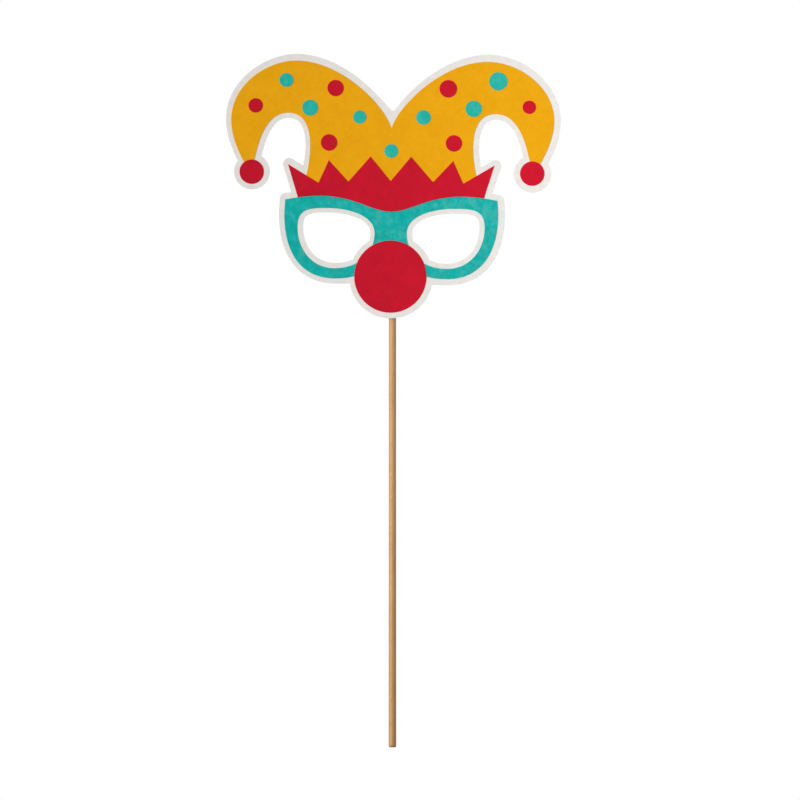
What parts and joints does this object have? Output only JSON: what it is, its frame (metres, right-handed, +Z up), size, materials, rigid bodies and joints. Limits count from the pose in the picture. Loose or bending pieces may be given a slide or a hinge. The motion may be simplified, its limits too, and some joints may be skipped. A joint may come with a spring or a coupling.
{
  "type": "mask on stick",
  "caption": "Flat party mask with a two-horned jester hat, spectacle frames with eye openings and a round nose, held up on a thin round wooden stick.",
  "frame": {"origin": "centre of the stick's flat bottom end", "axes": "+Z up along the stick, mask facing -Y, +X to the right as seen from the front"},
  "size_m": [0.2276, 0.0077, 0.4717],
  "materials": {
    "white_board": "matt uncoated white board",
    "patch_paper": "matt white paper",
    "yellow_sheet": "matt golden yellow",
    "teal_sheet": "matt mottled teal",
    "red_sheet": "matt crimson",
    "stick_wood": "bare light hardwood",
    "glue": "milky hot-melt glue"
  },
  "bodies": {
    "root": {"backing_patch": "patch_paper", "collar_sheet": "red_sheet", "dot_centre": "teal_sheet", "dot_crown_left": "teal_sheet", "dot_crown_right": "teal_sheet", "dot_horn_left": "teal_sheet", "dot_horn_right": "teal_sheet", "dot_notch_left": "teal_sheet", "dot_notch_right": "teal_sheet", "dot_outer_left": "red_sheet", "dot_outer_right": "red_sheet", "dot_side_left": "red_sheet", "dot_side_right": "red_sheet", "dot_slope_left": "red_sheet", "dot_slope_right": "red_sheet", "glasses_sheet": "teal_sheet", "glue_bead": "glue", "hat_sheet": "yellow_sheet", "mask_board": "white_board", "nose_disc": "red_sheet", "pompom_left": "red_sheet", "pompom_right": "red_sheet", "stick": "stick_wood"}
  },
  "joints": []
}
